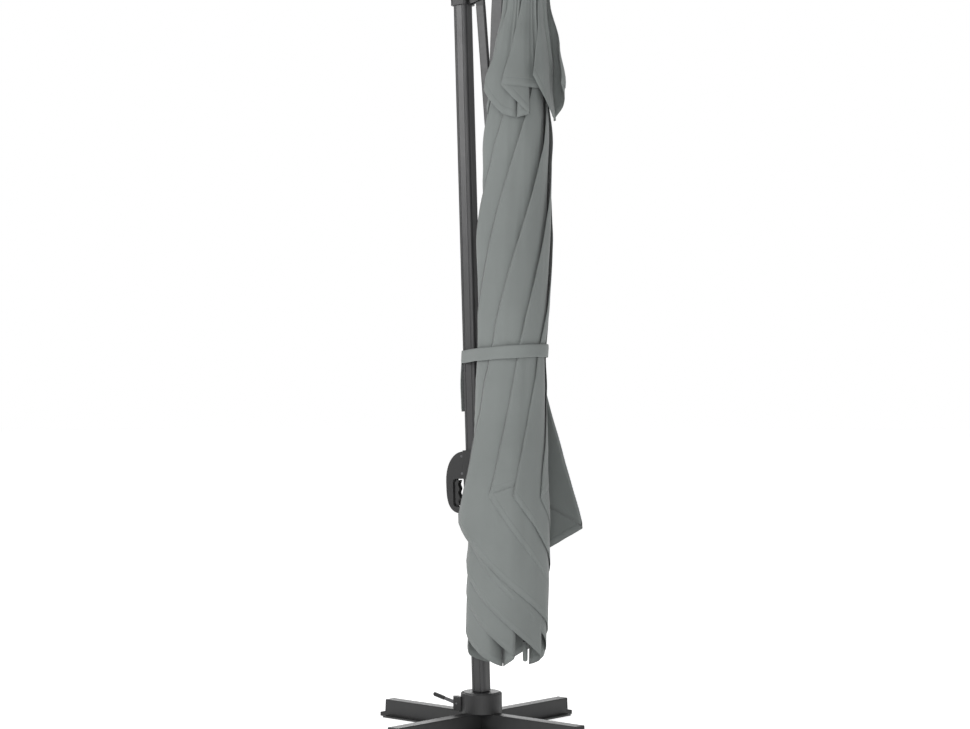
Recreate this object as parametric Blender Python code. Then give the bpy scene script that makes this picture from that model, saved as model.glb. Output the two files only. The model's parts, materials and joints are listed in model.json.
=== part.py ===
"""Cantilever parasol, folded: cross base, turning mast, lifting linkage and a wrapped canopy.

Metres, +Z up. The origin is the middle of the base on the ground, and +X points from the mast to the canopy.
Parts of the mast stand in the frame of the empty mast_frame, which leans a little, and parts of the canopy
hang in the frame of the empty canopy_frame. Both carry a plane in which the linkage moves, at local Y = 0.
"""
import math

import bmesh
import bpy
from mathutils import Matrix, Vector

# ---- driving dimensions, in metres and degrees ------------------------------------------------------
GAP = 0.0003                  # between touching pieces
LEAN = 1.83                   # mast leans back by this angle
PIVOT_HEIGHT = 0.115          # top of the turning disc, where the mast axis meets the base axis

ARM_TURN = -9.7               # first base arm, measured from +X
ARM_END = 0.375
ARM_WIDTH = 0.040
LIP_WIDTH = 0.078
LIP_THICKNESS = 0.005
BASE_HEIGHT = 0.053
ARM_WALL = 0.0025

HOUSING_RADIUS = 0.062
HOUSING_TOP = 0.1125
DISC_SEAT = 0.100             # the turning disc lies in the housing from here
CORE_RADIUS = 0.015           # solid core where the base arms meet
SPINDLE_RADIUS = 0.013
SPINDLE_TOP = 0.240

MAST_HALF = 0.02275
MAST_CORNER = 0.010
MAST_WALL = 0.0025
MAST_TOP = 2.235

PIVOT_OFFSET = 0.062          # upper and lower linkage pivots from the mast axis
HEAD_PIVOT = 2.200            # strut on the mast head
FOOT_PIVOT = 0.790            # arm on the carriage
KNEE_OFFSET = 0.100           # strut on the arm, halfway between the other two
HUB_OFFSET = 0.236            # canopy on the arm end
HUB_HEIGHT = 2.470
PIN_RADIUS = 0.005
PIN_BORE = 0.0053

STRUT_WIDTH = 0.030
STRUT_THICKNESS = 0.0126
CHANNEL_HALF = 0.020          # arm channel in the linkage plane
CHANNEL_SIDE = 0.017          # and across it
CHANNEL_WALL = 0.003

CARRIAGE_HALF = 0.029
CARRIAGE_LOW = 0.650
CARRIAGE_HIGH = 0.838
GRIP_HALF = 0.013

CANOPY_TILT = 1.83            # the closed canopy hangs at this angle
POLE_RADIUS = 0.019
RIB_COUNT = 8
RIB_FIRST = 22.5
CORNER_RIB = 2.15
SIDE_RIB = 1.55
RIB_PIVOT = 0.108             # below the hub pivot
STRAP_DROP = 1.348
STRAP_HEIGHT = 0.038

KNEE_HEIGHT = (HEAD_PIVOT + FOOT_PIVOT) / 2
LINK_ANGLE = math.degrees(math.atan2(KNEE_OFFSET - PIVOT_OFFSET, HEAD_PIVOT - KNEE_HEIGHT))

GRAPHITE = ((0.040, 0.040, 0.042), 0.42, 0.6)
BLACK_PLASTIC = ((0.030, 0.030, 0.032), 0.55, 0.0)
STEEL = ((0.45, 0.45, 0.46), 0.32, 1.0)
CLOTH = ((0.205, 0.220, 0.213), 0.9, 0.0)


# ---- scene helpers ----------------------------------------------------------------------------------
def clear_scene():
    for old in list(bpy.data.objects):
        bpy.data.objects.remove(old, do_unlink=True)


def empty(name, place, turn=0.0, parent=None):
    """An empty turned about Y, used as a frame for the pieces under it."""
    made = bpy.data.objects.new(name, None)
    made.location = place
    made.rotation_euler = (0.0, math.radians(turn), 0.0)
    made.parent = parent
    bpy.context.collection.objects.link(made)
    return made


def material(name, look):
    colour, roughness, metallic = look
    made = bpy.data.materials.new(name)
    made.use_nodes = True
    shader = made.node_tree.nodes["Principled BSDF"]
    shader.inputs["Base Color"].default_value = (*colour, 1.0)
    shader.inputs["Roughness"].default_value = roughness
    shader.inputs["Metallic"].default_value = metallic
    return made


def piece(name, shape, look, parent=None, place=(0, 0, 0), turn=(0, 0, 0), smooth=True):
    """A named object made from a bmesh, with its own material. turn is in degrees."""
    bmesh.ops.recalc_face_normals(shape, faces=shape.faces)
    mesh = bpy.data.meshes.new(name)
    shape.to_mesh(mesh)
    shape.free()
    if smooth:
        mesh.shade_smooth()
        mesh.set_sharp_from_angle(angle=math.radians(35))
    made = bpy.data.objects.new(name, mesh)
    mesh.materials.append(material(name, look))
    made.parent = parent
    made.location = place
    made.rotation_euler = [math.radians(angle) for angle in turn]
    bpy.context.collection.objects.link(made)
    return made


def combine(target, tool_shape, operation):
    """Join a tool shape to the target, or cut it away, in the target's own frame."""
    tool = piece(target.name + "_" + operation.lower(), tool_shape, BLACK_PLASTIC, smooth=False)
    tool.parent = target.parent
    tool.location = target.location
    tool.rotation_euler = target.rotation_euler
    tool.hide_render = True
    tool.display_type = "WIRE"
    change = target.modifiers.new(tool.name, "BOOLEAN")
    change.operation = operation
    change.solver = "EXACT"
    change.object = tool


def join(target, tool_shape):
    combine(target, tool_shape, "UNION")


def cut(target, tool_shape):
    combine(target, tool_shape, "DIFFERENCE")


# ---- shapes -----------------------------------------------------------------------------------------
def loft(rings, closed_ends=True):
    """A skin over rings of points. Each ring has the same number of points."""
    shape = bmesh.new()
    rows = [[shape.verts.new(point) for point in ring] for ring in rings]
    count = len(rows[0])
    for low, high in zip(rows, rows[1:]):
        for i in range(count):
            j = (i + 1) % count
            shape.faces.new((low[i], low[j], high[j], high[i]))
    if closed_ends:
        shape.faces.new(reversed(rows[0]))
        shape.faces.new(rows[-1])
    return shape


def band(rings):
    """A skin over rings that each run out along one side of a band and back along the other."""
    shape = loft(rings, closed_ends=False)
    shape.verts.ensure_lookup_table()
    count = len(rings[0])
    for first in (0, len(shape.verts) - count):
        for i in range(count // 2 - 1):
            corners = (i, i + 1, count - 2 - i, count - 1 - i)
            shape.faces.new([shape.verts[first + corner] for corner in corners])
    return shape


def prism(outline, low, high, axis="Z"):
    """A flat outline pushed from low to high along an axis. On axis Y the outline is given as (x, z)."""
    if axis == "Z":
        rings = [[(a, b, level) for a, b in outline] for level in (low, high)]
    elif axis == "Y":
        rings = [[(a, level, b) for a, b in outline] for level in (low, high)]
    else:
        rings = [[(level, a, b) for a, b in outline] for level in (low, high)]
    return loft(rings)


def block(low, high):
    """A box between two corners."""
    outline = [(low[0], low[1]), (high[0], low[1]), (high[0], high[1]), (low[0], high[1])]
    return prism(outline, low[2], high[2])


def circle(radius, count=24, centre=(0.0, 0.0), start=0.0):
    return [(centre[0] + radius * math.cos(start + 2 * math.pi * i / count),
             centre[1] + radius * math.sin(start + 2 * math.pi * i / count)) for i in range(count)]


def arc(centre, radius, first, last, count):
    """Points on an arc, with its angles in degrees."""
    angles = [math.radians(first + (last - first) * i / (count - 1)) for i in range(count)]
    return [(centre[0] + radius * math.cos(a), centre[1] + radius * math.sin(a)) for a in angles]


def rounded_rectangle(half_x, half_y, corner, steps=5):
    points = []
    for sign_x, sign_y, first in ((1, 1, 0), (-1, 1, 90), (-1, -1, 180), (1, -1, 270)):
        centre = (sign_x * (half_x - corner), sign_y * (half_y - corner))
        points += arc(centre, corner, first, first + 90, steps)
    return points


def rod(radius, low, high, axis="Z", count=20, centre=(0.0, 0.0)):
    return prism(circle(radius, count, centre), low, high, axis)


def turned(profile, count=32, centre=(0.0, 0.0)):
    """A closed profile of (radius, height) points, turned about Z into a ring."""
    rings = []
    for i in range(count):
        angle = 2 * math.pi * i / count
        rings.append([(centre[0] + r * math.cos(angle), centre[1] + r * math.sin(angle), z)
                      for r, z in profile])
    rings.append(rings[0])
    shape = loft(rings, closed_ends=False)
    bmesh.ops.remove_doubles(shape, verts=shape.verts, dist=0.00001)
    return shape


def tube(outer, inner, low, high):
    """A straight hollow length. Outer and inner outlines have the same number of points."""
    rings = [[(x, y, low) for x, y in outer], [(x, y, high) for x, y in outer],
             [(x, y, high) for x, y in inner], [(x, y, low) for x, y in inner]]
    rings.append(rings[0])
    shape = loft(rings, closed_ends=False)
    bmesh.ops.remove_doubles(shape, verts=shape.verts, dist=0.00001)
    return shape


def interpolate(table, at):
    """Straight-line reading of a table of (position, value) points."""
    if at <= table[0][0]:
        return table[0][1]
    for (low, first), (high, last) in zip(table, table[1:]):
        if at <= high:
            return first + (last - first) * (at - low) / (high - low)
    return table[-1][1]


def bump(at, centre, width):
    return math.exp(-((at - centre) / width) ** 2)


def convex_hull(points):
    """The outline around a set of flat points, anticlockwise."""
    ordered = sorted(set(points))

    def chain(sequence):
        side = []
        for point in sequence:
            while len(side) > 1 and turn_of(side[-2], side[-1], point) <= 0:
                side.pop()
            side.append(point)
        return side[:-1]

    return chain(ordered) + chain(ordered[::-1])


def turn_of(a, b, c):
    return (b[0] - a[0]) * (c[1] - a[1]) - (b[1] - a[1]) * (c[0] - a[0])


def grown(outline, by):
    """A convex outline moved outward by a distance, corner by corner."""
    count = len(outline)
    result = []
    for i in range(count):
        before = Vector(outline[i]) - Vector(outline[i - 1])
        after = Vector(outline[(i + 1) % count]) - Vector(outline[i])
        first = Vector((before.y, -before.x)).normalized()
        second = Vector((after.y, -after.x)).normalized()
        middle = (first + second).normalized()
        result.append(tuple(Vector(outline[i]) + middle * by / max(0.5, middle.dot(first))))
    return result


# ---- base -------------------------------------------------------------------------------------------
def build_base():
    base = empty("base_frame", (0, 0, 0))
    low = BASE_HEIGHT + GAP
    block_top = low + 0.005
    centre = piece("base_centre_block", rod(CORE_RADIUS, 0.0, low + 0.002, count=24), GRAPHITE, base)
    join(centre, rod(HOUSING_RADIUS - 0.006, low, block_top, count=32))
    for index in range(4):
        turn = ARM_TURN + 90 * index
        build_base_arm(index + 1, turn, base)
        build_end_cap(index + 1, turn, base)
    inner, bore = HOUSING_RADIUS - 0.005, SPINDLE_RADIUS + GAP
    profile = [(bore, DISC_SEAT - 0.006), (inner, DISC_SEAT - 0.006), (inner, low), (HOUSING_RADIUS, low),
               (HOUSING_RADIUS, HOUSING_TOP - 0.0035), (HOUSING_RADIUS - 0.001, HOUSING_TOP - 0.001),
               (HOUSING_RADIUS - 0.0035, HOUSING_TOP), (inner, HOUSING_TOP - 0.0015), (inner, DISC_SEAT),
               (bore, DISC_SEAT)]
    piece("pivot_housing", turned(profile, 48), GRAPHITE, base)
    piece("base_spindle", rod(SPINDLE_RADIUS, block_top + GAP, SPINDLE_TOP, count=20), STEEL, base)
    nut = prism(circle(0.011, 6), SPINDLE_TOP + GAP, SPINDLE_TOP + 0.009)
    piece("spindle_nut", nut, STEEL, base, smooth=False)


def build_base_arm(number, turn, base):
    """One arm of the cross: a box tube with a lip on each side to carry the ballast slabs.

    Its inner end is mitred against both neighbours and bored for the core of the centre block.
    """
    half = ARM_WIDTH / 2
    lip = LIP_WIDTH / 2
    outline = [(-lip, 0.0), (lip, 0.0), (lip, LIP_THICKNESS), (half, LIP_THICKNESS),
               (half, BASE_HEIGHT - 0.002), (half - 0.002, BASE_HEIGHT), (-half + 0.002, BASE_HEIGHT),
               (-half, BASE_HEIGHT - 0.002), (-half, LIP_THICKNESS), (-lip, LIP_THICKNESS)]
    arm = piece(f"base_arm_{number}", prism(outline, -0.001, ARM_END, "X"), GRAPHITE, base,
                turn=(0, 0, turn))
    cut(arm, block((-0.01, -half + ARM_WALL, LIP_THICKNESS),
                   (ARM_END + 0.01, half - ARM_WALL, BASE_HEIGHT - ARM_WALL)))
    reach = 0.060
    mitre = [(GAP, 0.0), (reach + GAP, reach), (-0.01, reach), (-0.01, -reach), (reach + GAP, -reach)]
    cut(arm, prism(mitre, -0.01, BASE_HEIGHT + 0.01))
    cut(arm, rod(CORE_RADIUS + GAP, -0.02, BASE_HEIGHT + 0.02, count=24))


def build_end_cap(number, turn, base):
    """A plastic plug on the arm's end, with a foot tab that sticks out at the floor."""
    half = ARM_WIDTH / 2
    start = ARM_END + GAP
    outline = [(start, 0.0), (start + 0.030, 0.0), (start + 0.030, 0.012), (start + 0.009, 0.016),
               (start + 0.007, BASE_HEIGHT), (start, BASE_HEIGHT)]
    cap = piece(f"arm_end_cap_{number}", prism(outline, -half + 0.001, half - 0.001, "Y"), BLACK_PLASTIC,
                base, turn=(0, 0, turn))
    inset = ARM_WALL + GAP
    join(cap, block((ARM_END - 0.018, -half + inset, LIP_THICKNESS + GAP),
                    (start + 0.003, half - inset, BASE_HEIGHT - inset)))


PEDAL_TURN = 215.0            # the pedal points back and to the left of the mast
PEDAL_AXIS = (0.076, 0.081)   # radius and height of its pin
PEDAL_RISE = 22.7             # the lever rises outward at this angle
PEDAL_LENGTH = 0.0735         # from its pin to the end of its sleeve


def build_pedal():
    """A lug on the housing and the sprung lever that locks the turning disc."""
    frame = empty("pedal_frame", (0, 0, 0))
    frame.rotation_euler = (0, 0, math.radians(PEDAL_TURN))
    inner = HOUSING_RADIUS + GAP
    lug = piece("pedal_bracket", block((inner, -0.014, 0.056), (0.069, 0.014, 0.100)), GRAPHITE, frame)
    for side in (-1, 1):
        cheek = block((0.066, side * 0.0105 - 0.0035, 0.060), (0.084, side * 0.0105 + 0.0035, 0.1005))
        join(lug, cheek)
    cut(lug, rod(0.0033, -0.02, 0.02, "Y", 12, PEDAL_AXIS))
    piece("pedal_pin", rod(0.0030, -0.016, 0.016, "Y", 12, PEDAL_AXIS), STEEL, frame)
    bar = 0.0044
    sleeve_start = PEDAL_LENGTH - 0.036
    outline = arc(PEDAL_AXIS, 0.0055, PEDAL_RISE + 110, PEDAL_RISE + 250, 8)
    outline += [lever_point(sleeve_start - GAP, -bar), lever_point(sleeve_start - GAP, bar)]
    lever = piece("pedal_lever", prism(outline, -0.0055, 0.0055, "Y"), STEEL, frame)
    cut(lever, rod(0.0033, -0.02, 0.02, "Y", 12, PEDAL_AXIS))
    half = 0.0052
    sleeve = [lever_point(sleeve_start, half), lever_point(sleeve_start, -half)]
    sleeve += arc(lever_point(PEDAL_LENGTH - half, 0.0), half, PEDAL_RISE - 90, PEDAL_RISE + 90, 9)
    piece("pedal_pad", prism(sleeve, -0.0075, 0.0075, "Y"), BLACK_PLASTIC, frame)


def lever_point(along, side):
    """A point of the pedal lever, at a distance from its pin and to the side of its middle line."""
    rise = math.radians(PEDAL_RISE)
    return (PEDAL_AXIS[0] + along * math.cos(rise) - side * math.sin(rise),
            PEDAL_AXIS[1] + along * math.sin(rise) + side * math.cos(rise))


# ---- mast -------------------------------------------------------------------------------------------
def mast_level(height):
    """Local Z in the mast's frame of a height stated along the mast from the ground."""
    return height - PIVOT_HEIGHT


def mast_outline(half, groove):
    """A square with round corners and a shallow groove at both ends of each flat side."""
    flat = half - MAST_CORNER
    points = []
    for index in range(4):
        quarter = Matrix.Rotation(math.radians(90 * index), 2)
        side = [(half, flat - 0.0030), (half - groove, flat - 0.0020), (half, flat - 0.0010)]
        side += arc((flat, flat), half - flat, 0, 90, 6)
        side += [(flat - 0.0010, half), (flat - 0.0020, half - groove), (flat - 0.0030, half)]
        points += [tuple(quarter @ Vector(point)) for point in side]
    return points


def build_mast(mast):
    inner = SPINDLE_RADIUS + GAP
    edge = HOUSING_RADIUS - 0.005 - 2 * GAP
    seat = DISC_SEAT + GAP
    profile = [(inner, seat), (edge, seat), (edge, HOUSING_TOP - 0.001),
               (edge - 0.0012, PIVOT_HEIGHT - 0.0006), (edge - 0.0030, PIVOT_HEIGHT), (inner, PIVOT_HEIGHT)]
    piece("turntable", turned(profile, 48), GRAPHITE)
    profile = [(inner, 0.125), (0.0170, 0.125), (0.0170, 0.165), (inner, 0.165)]
    piece("mast_bushing", turned(profile, 24), BLACK_PLASTIC)
    outer = mast_outline(MAST_HALF, 0.0012)
    wall = mast_outline(MAST_HALF - MAST_WALL, 0.0)
    piece("mast_tube", tube(outer, wall, 0.0012, mast_level(MAST_TOP)), GRAPHITE, mast)
    build_mast_head(mast)
    low = mast_level(MAST_TOP) + 0.0055
    rings = [[(x, y, low + lift) for x, y in rounded_rectangle(half, half, 0.008)]
             for half, lift in ((0.0285, 0.0), (0.0285, 0.010), (0.024, 0.015), (0.012, 0.018))]
    piece("mast_cap", loft(rings), BLACK_PLASTIC, mast)
    stop = rod(0.0045, -MAST_HALF - 0.0045, -MAST_HALF - GAP, "X", 12, (0.0, mast_level(1.730)))
    piece("mast_stop_screw", stop, STEEL, mast)


def build_mast_head(mast):
    """A cast collar on the mast's top, with two cheeks that hold the strut."""
    low, high = mast_level(2.177), mast_level(MAST_TOP) + 0.005
    pivot = (PIVOT_OFFSET, mast_level(HEAD_PIVOT))
    head = piece("mast_head", prism(rounded_rectangle(0.0285, 0.0285, 0.010), low, high), GRAPHITE, mast)
    for side in (-1, 1):
        near, far = sorted((side * 0.0075, side * 0.0125))
        outline = [(0.020, low)] + arc(pivot, 0.015, -70, 70, 9) + [(0.020, high - 0.006)]
        join(head, prism(outline, near, far, "Y"))
    hole = MAST_HALF + GAP
    cut(head, block((-hole, -hole, low - 0.01), (hole, hole, mast_level(MAST_TOP) + GAP)))
    cut(head, rod(PIN_BORE, -0.04, 0.04, "Y", 16, pivot))
    piece("strut_pin", rod(PIN_RADIUS, -0.016, 0.016, "Y", 16, pivot), STEEL, mast)


# ---- linkage ----------------------------------------------------------------------------------------
def eye(length, radius, half_thickness, tongue, tongue_half):
    """An eye plate hanging from the frame's origin, with a tongue for the tube it fits into."""
    outline = arc((0, 0), radius, 0, 180, 11) + [(-radius, -length), (radius, -length)]
    shape = prism(outline, -half_thickness, half_thickness, "Y")
    half = radius - 0.002
    end = block((-half, -tongue_half, -length - tongue), (half, tongue_half, -length + 0.004))
    return shape, end


def build_strut(mast):
    """A flat tube from the mast head to the middle of the arm, in a frame with its origin on the top pin."""
    frame = empty("strut_frame", (PIVOT_OFFSET, 0, mast_level(HEAD_PIVOT)), -LINK_ANGLE, mast)
    length = math.hypot(KNEE_OFFSET - PIVOT_OFFSET, HEAD_PIVOT - KNEE_HEIGHT)
    half = STRUT_THICKNESS / 2
    shape, end = eye(0.030, 0.013, half - 0.0003, 0.030, 0.0042)
    head = piece("strut_head", shape, GRAPHITE, frame)
    join(head, end)
    cut(head, rod(PIN_BORE, -0.02, 0.02, "Y", 16))
    outer = rounded_rectangle(STRUT_WIDTH / 2, half, 0.004, 4)
    inner = rounded_rectangle(STRUT_WIDTH / 2 - 0.0018, half - 0.0018, 0.0022, 4)
    piece("strut_tube", tube(outer, inner, -length + 0.0305, -0.0305), GRAPHITE, frame)
    shape, end = eye(0.030, 0.013, half - 0.0003, 0.030, 0.0042)
    foot = piece("strut_foot", shape, GRAPHITE, frame, (0, 0, -length), (0, 180, 0))
    join(foot, end)
    join(foot, rod(0.011, -0.0135, 0.0135, "Y", 20))
    cut(foot, rod(PIN_BORE, -0.03, 0.03, "Y", 16))


def arm_route():
    """Middle of the arm channel: straight from the foot to the knee, then curving out to the canopy."""
    start = Vector((PIVOT_OFFSET, FOOT_PIVOT))
    knee = Vector((KNEE_OFFSET, KNEE_HEIGHT))
    along = (knee - start).normalized()
    points = [start + along * step for step in (0.022, 0.25, 0.50)] + [knee]
    bends = [(0.108, 1.740), (0.117, 1.950), (0.129, 2.130), (0.140, 2.250), (0.152, 2.340)]
    return points + [Vector(point) for point in bends]


def channel_section():
    side, wall, half = CHANNEL_SIDE, CHANNEL_WALL, CHANNEL_HALF
    return [(-half, -side), (half - 0.005, -side), (half, -side + 0.005), (half, side - 0.005),
            (half - 0.005, side), (-half, side), (-half, side - wall), (half - wall, side - wall),
            (half - wall, -side + wall), (-half, -side + wall)]


def build_arm(mast):
    """The load arm: a channel open towards the mast, into which the strut folds."""
    route = arm_route()
    rings = []
    for index, point in enumerate(route):
        before = route[max(index - 1, 0)]
        after = route[min(index + 1, len(route) - 1)]
        along = (after - before).normalized()
        out = Vector((along.y, -along.x))
        rings.append([(point.x + out.x * a, b, mast_level(point.y) + out.y * a)
                      for a, b in channel_section()])
    arm = piece("arm_channel", loft(rings), GRAPHITE, mast)
    knee = (KNEE_OFFSET, mast_level(KNEE_HEIGHT))
    foot = (PIVOT_OFFSET, mast_level(FOOT_PIVOT))
    cut(arm, rod(PIN_BORE, -0.04, 0.04, "Y", 16, knee))
    piece("knee_pin", rod(PIN_RADIUS, -0.020, 0.020, "Y", 16, knee), STEEL, mast)
    piece("arm_pin", rod(PIN_RADIUS, -0.0215, 0.0215, "Y", 16, foot), STEEL, mast)
    build_arm_foot(mast, foot)
    build_arm_head(mast)


def build_arm_foot(mast, foot):
    shape, end = eye(0.0215, 0.0125, 0.0130, 0.060, 0.0135)
    made = piece("arm_foot", shape, GRAPHITE, mast, (foot[0], 0, foot[1]), (0, 180 + LINK_ANGLE, 0))
    join(made, end)
    cut(made, rod(PIN_BORE, -0.03, 0.03, "Y", 16))


def build_arm_head(mast):
    """A casting that turns over from the channel's end to the pivot above the canopy."""
    hub = (HUB_OFFSET, mast_level(HUB_HEIGHT))
    outline = [(0.1490, 2.3402), (0.1680, 2.3402), (0.1810, 2.4200), (0.2000, 2.4440)]
    outer = [(0.2140, 2.4840), (0.1800, 2.4800), (0.1480, 2.4450), (0.1365, 2.3402)]
    points = [(u, mast_level(h)) for u, h in outline] + arc(hub, 0.0145, -110, 110, 11)
    points += [(u, mast_level(h)) for u, h in outer]
    made = piece("arm_head", prism(points, -0.0130, 0.0130, "Y"), GRAPHITE, mast)
    cut(made, rod(PIN_BORE, -0.03, 0.03, "Y", 16, hub))
    piece("head_pin", rod(PIN_RADIUS, -0.0215, 0.0215, "Y", 16, hub), STEEL, mast)


# ---- carriage ---------------------------------------------------------------------------------------
HANDLE_MIDDLE = 0.741         # height of the D-handle's middle
HANDLE_HALF_HEIGHT = 0.094
HANDLE_OUT = 0.0685           # from the collar to the handle's outer edge
OPENING_LOW = 0.668
OPENING_HIGH = 0.752
OPENING_OUT = 0.0735          # far side of the finger opening from the mast axis
OPENING_CORNER = 0.010
TRIGGER_FACE = 0.0555
TRIGGER_BACK = 0.0680
TONGUE = (0.0640, 0.0680)     # the trigger's ends slide in pockets of the handle on these
LINER = (0.0003, 0.0017)      # glide liner, measured from the mast's side
WINCH_OFFSET = -0.030         # winch shaft behind the mast axis
WINCH_LEVEL = 0.735
WINCH_OUT = 0.062
CRANK_REACH = 0.075


def grip_outline():
    """The D-shaped handle at the back of the carriage: round at its top, fuller at its foot."""
    middle = mast_level(HANDLE_MIDDLE)
    points = []
    steps = 22
    for i in range(steps + 1):
        turn = math.pi / 2 + math.pi * i / steps
        power = 2 / 2.2 if turn < math.pi else 2 / 3.2
        out = abs(math.cos(turn)) ** power
        rise = math.copysign(abs(math.sin(turn)) ** power, math.sin(turn))
        points.append((-CARRIAGE_HALF - HANDLE_OUT * out, middle + HANDLE_HALF_HEIGHT * rise))
    inner = -CARRIAGE_HALF + 0.002
    return [(inner, middle - HANDLE_HALF_HEIGHT), (inner, middle + HANDLE_HALF_HEIGHT)] + points


def opening_outline():
    """The finger opening between the handle and the mast, with round corners on its outer side."""
    low, high = mast_level(OPENING_LOW), mast_level(OPENING_HIGH)
    near = -MAST_HALF - LINER[1] - GAP
    corner_u = -OPENING_OUT + OPENING_CORNER
    points = [(near, low), (near, high)]
    points += arc((corner_u, high - OPENING_CORNER), OPENING_CORNER, 90, 180, 6)
    points += arc((corner_u, low + OPENING_CORNER), OPENING_CORNER, 180, 270, 6)
    return points


def build_carriage(mast):
    """Two moulded halves that slide on the mast, joined at the linkage plane."""
    for side, name in ((-1, "carriage_shell_front"), (1, "carriage_shell_back")):
        build_carriage_shell(mast, side, name)
    gap, wall = MAST_HALF + LINER[0], MAST_HALF + LINER[1]
    liner = tube(rounded_rectangle(wall, wall, 0.0095), rounded_rectangle(gap, gap, 0.0095),
                 mast_level(CARRIAGE_LOW) + 0.003, mast_level(CARRIAGE_HIGH) - 0.003)
    piece("glide_liner", liner, BLACK_PLASTIC, mast)
    for level, name in HANDLE_SCREWS:
        screw = rod(0.0039, -0.0128, -0.0108, "Y", 12, (HANDLE_SCREW_U, mast_level(level)))
        piece(name, screw, STEEL, mast)
    build_trigger(mast)
    build_crank(mast)


HANDLE_SCREWS = ((0.820, "handle_screw_upper"), (0.768, "handle_screw_lower"))
HANDLE_SCREW_U = -0.040


def build_carriage_shell(mast, side, name):
    """One half of the carriage. The half behind the linkage plane also carries the winch box."""
    pivot = (PIVOT_OFFSET, mast_level(FOOT_PIVOT))
    winch = (WINCH_OFFSET, mast_level(WINCH_LEVEL))
    shell = piece(name, collar_half(side), BLACK_PLASTIC, mast)
    near, far = sorted((side * GAP / 2, side * GRIP_HALF))
    join(shell, prism(grip_outline(), near, far, "Y"))
    near, far = sorted((side * 0.0135, side * 0.0190))
    cheek = [(0.026, pivot[1] - 0.030), (0.050, pivot[1] - 0.014)] + arc(pivot, 0.0125, -60, 90, 8)
    cheek += [(0.026, pivot[1] + 0.0125)]
    join(shell, prism(cheek, near, far, "Y"))
    if side > 0:
        join(shell, block((winch[0] - 0.026, 0.0275, mast_level(0.690)),
                          (winch[0] + 0.026, WINCH_OUT, mast_level(0.780))))
    hole = MAST_HALF + LINER[1] + GAP
    cut(shell, block((-hole, -hole, mast_level(0.60)), (hole, hole, mast_level(0.90))))
    cut(shell, prism(opening_outline(), -0.05, 0.0272, "Y"))
    pocket_in, pocket_out = -TONGUE[0] + 2 * GAP, -OPENING_OUT
    cut(shell, block((pocket_out, -0.0062, mast_level(OPENING_LOW) - 0.008),
                     (pocket_in, 0.0062, mast_level(OPENING_HIGH) + 0.008)))
    cut(shell, rod(PIN_BORE, -0.05, 0.05, "Y", 16, pivot))
    if side > 0:
        cut(shell, rod(0.0195, 0.0300, 0.0560, "Y", 24, winch))
        cut(shell, rod(0.0060, 0.0400, 0.0800, "Y", 16, winch))
    else:
        for level, _ in HANDLE_SCREWS:
            cut(shell, rod(0.0042, -0.020, -0.0105, "Y", 12, (HANDLE_SCREW_U, mast_level(level))))


def collar_half(side):
    """Half of the square collar round the mast, with its outer corners rounded."""
    corner = 0.007
    half = CARRIAGE_HALF
    outline = [(-half, side * GAP / 2), (half, side * GAP / 2)]
    outline += arc((half - corner, side * (half - corner)), corner, 0, side * 90, 5)
    outline += arc((-half + corner, side * (half - corner)), corner, side * 90, side * 180, 5)
    return prism(outline, mast_level(CARRIAGE_LOW), mast_level(CARRIAGE_HIGH))


def build_trigger(mast):
    """The squeeze bar in the handle, with a wave for the fingers on the side of the mast."""
    low, high = mast_level(OPENING_LOW) + 0.004, mast_level(OPENING_HIGH) - 0.004
    waves = 3
    steps = 24
    front = []
    for i in range(steps + 1):
        share = i / steps
        wave = 0.0022 * math.cos(2 * math.pi * waves * share)
        front.append((-TRIGGER_FACE + wave, low + (high - low) * share))
    bevel = 0.006
    outline = front + [(-TRIGGER_BACK + bevel, high), (-TRIGGER_BACK, high - bevel),
                       (-TRIGGER_BACK, low + bevel), (-TRIGGER_BACK + bevel, low)]
    trigger = piece("grip_trigger", prism(outline, -0.009, 0.009, "Y"), BLACK_PLASTIC, mast)
    join(trigger, block((-TONGUE[1] + GAP, -0.0055, low - 0.009), (-TONGUE[0], 0.0055, high + 0.009)))


def build_crank(mast):
    """Winch drum on the carriage's far side, the crank on its shaft and the knob that spins on it."""
    level = mast_level(WINCH_LEVEL)
    shaft = (WINCH_OFFSET, level)
    knob = (WINCH_OFFSET, level - CRANK_REACH)
    drum = piece("winch_drum", rod(0.0120, 0.0310, 0.0550, "Y", 24, shaft), STEEL, mast)
    join(drum, rod(0.0180, 0.0310, 0.0335, "Y", 24, shaft))
    join(drum, rod(0.0180, 0.0525, 0.0550, "Y", 24, shaft))
    join(drum, rod(0.0057, 0.0500, 0.0645, "Y", 16, shaft))
    outline = arc(shaft, 0.012, 0, 180, 9) + arc(knob, 0.010, 180, 360, 9)
    crank = piece("crank_arm", prism(outline, 0.0650, 0.0730, "Y"), BLACK_PLASTIC, mast)
    join(crank, rod(0.0045, 0.0700, 0.1080, "Y", 16, knob))
    profile = [(0.0048, 0.0), (0.0105, 0.0), (0.0125, 0.006), (0.0125, 0.026), (0.0105, 0.032),
               (0.0048, 0.032)]
    piece("crank_knob", turned(profile, 24), BLACK_PLASTIC, mast, (knob[0], 0.0740, knob[1]), (-90, 0, 0))


# ---- canopy -----------------------------------------------------------------------------------------
YOKE_DROP = 0.062             # tilt pin below the hub pin
CORE_HALF = 0.046             # inside of the wrapped cloth


def build_yoke(hub):
    outline = arc((0, 0), 0.0145, 0, 180, 9) + arc((0, -YOKE_DROP), 0.0135, 180, 360, 9)
    yoke = piece("hub_yoke", prism(outline, -0.0190, -0.0135, "Y"), GRAPHITE, hub)
    join(yoke, prism(outline, 0.0135, 0.0190, "Y"))
    join(yoke, block((-0.010, -0.015, -0.043), (0.010, 0.015, -0.030)))
    cut(yoke, rod(PIN_BORE, -0.03, 0.03, "Y", 16))
    cut(yoke, rod(PIN_BORE, -0.03, 0.03, "Y", 16, (0, -YOKE_DROP)))


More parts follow.
